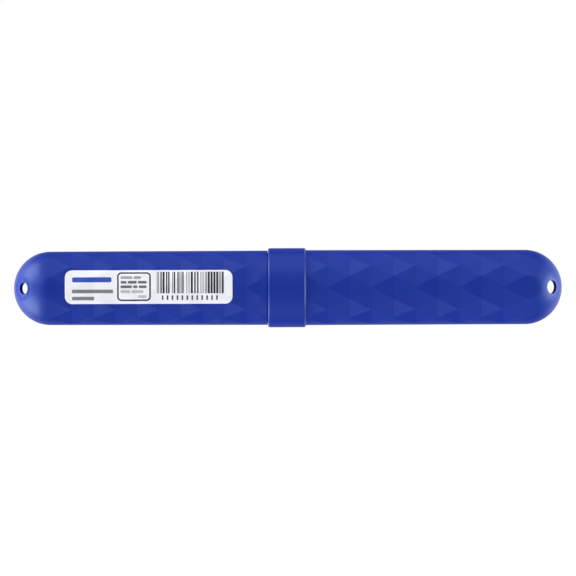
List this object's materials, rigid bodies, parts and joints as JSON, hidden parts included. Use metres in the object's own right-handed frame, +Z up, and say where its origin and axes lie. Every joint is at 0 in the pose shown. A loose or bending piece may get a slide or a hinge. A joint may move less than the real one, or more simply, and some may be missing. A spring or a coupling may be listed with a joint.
{
  "type": "toothbrush travel case",
  "caption": "Tubular two-part travel case for a toothbrush: faceted walls, domed ends with vent holes, and a plain collar on the cap that slides over a spigot.",
  "frame": {"origin": "middle of the case's axis, half way between the two dome tips with the cap pushed home", "axes": "+X along the case from the body's dome to the cap's dome, -Y out through the label, +Z up"},
  "size_m": [0.205, 0.0296, 0.0296],
  "materials": {
    "moulded_blue": "satin moulded polypropylene",
    "label_paper": "coated white label stock"
  },
  "bodies": {
    "tube": {"tube_body": "moulded_blue", "label": "label_paper"},
    "cap": {"tube_cap": "moulded_blue"}
  },
  "joints": [
    {"name": "cap_slide", "type": "slide", "parent": "tube", "child": "cap", "axis": [1, 0, 0], "range_m": [0, 0.12]}
  ]
}
